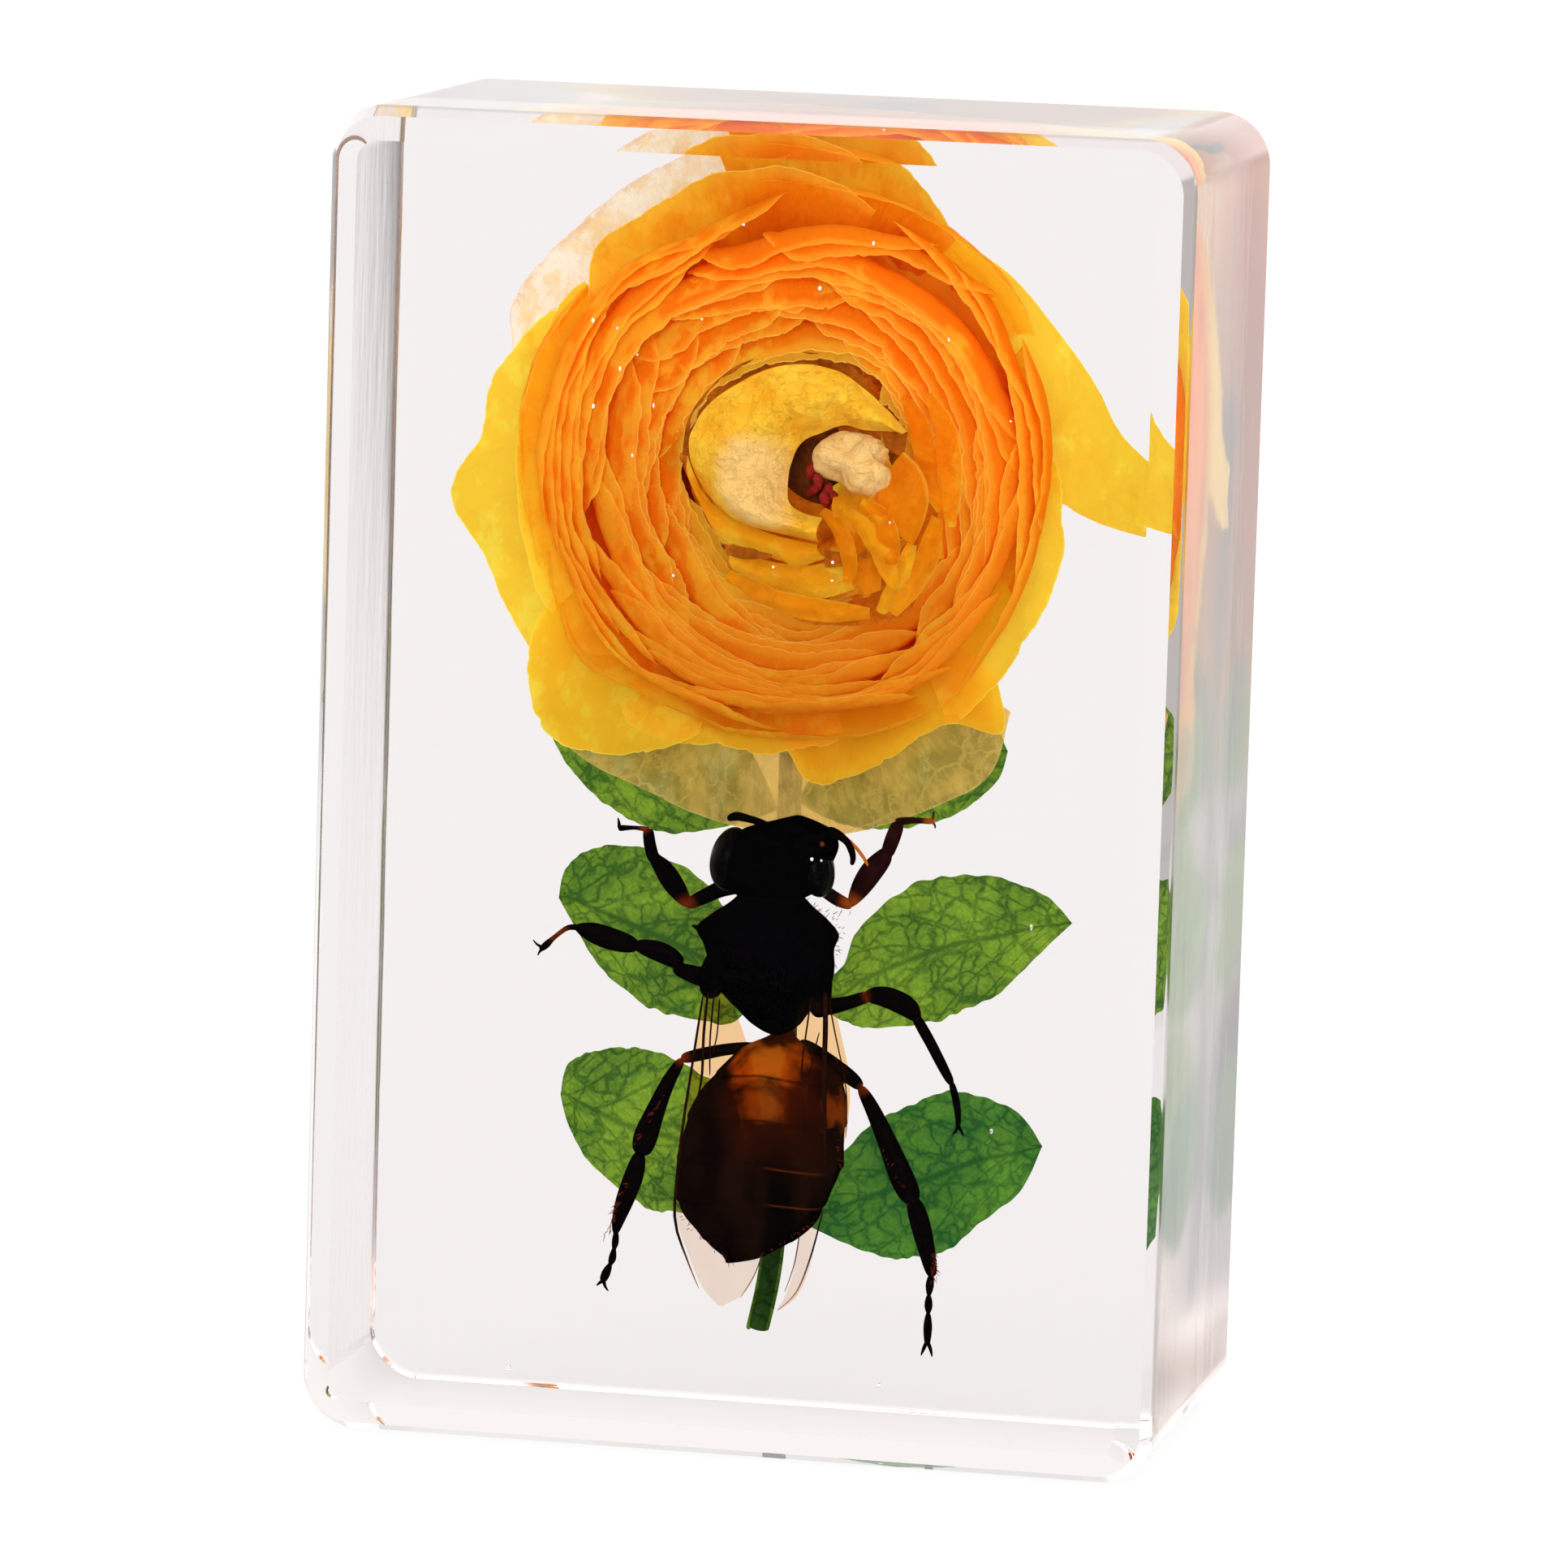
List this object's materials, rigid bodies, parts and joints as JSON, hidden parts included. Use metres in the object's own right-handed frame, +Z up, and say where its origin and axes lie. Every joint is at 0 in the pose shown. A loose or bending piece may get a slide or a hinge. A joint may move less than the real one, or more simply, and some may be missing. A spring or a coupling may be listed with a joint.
{
  "type": "insect in resin block",
  "caption": "Clear cast resin block that stands on its end, with a dried bee, a ranunculus flower and a leaf sprig sealed inside.",
  "frame": {"origin": "centre of the flat bottom end, on the surface that the block stands on", "axes": "+Z up the block's long side, the front face that shows the bee's back towards -Y, +X to the right as the front is seen"},
  "size_m": [0.0286, 0.0156, 0.044],
  "materials": {
    "clear_resin": "polished, water clear with a faint warm tint",
    "petal": "dried translucent petal, orange to yellow",
    "leaf": "dried green leaf with darker veins",
    "bee_shell": "black-brown insect shell, amber where it is thin",
    "bee_wing": "clear brownish membrane with dark veins"
  },
  "bodies": {
    "root": {"resin_block": "clear_resin"}
  },
  "joints": []
}
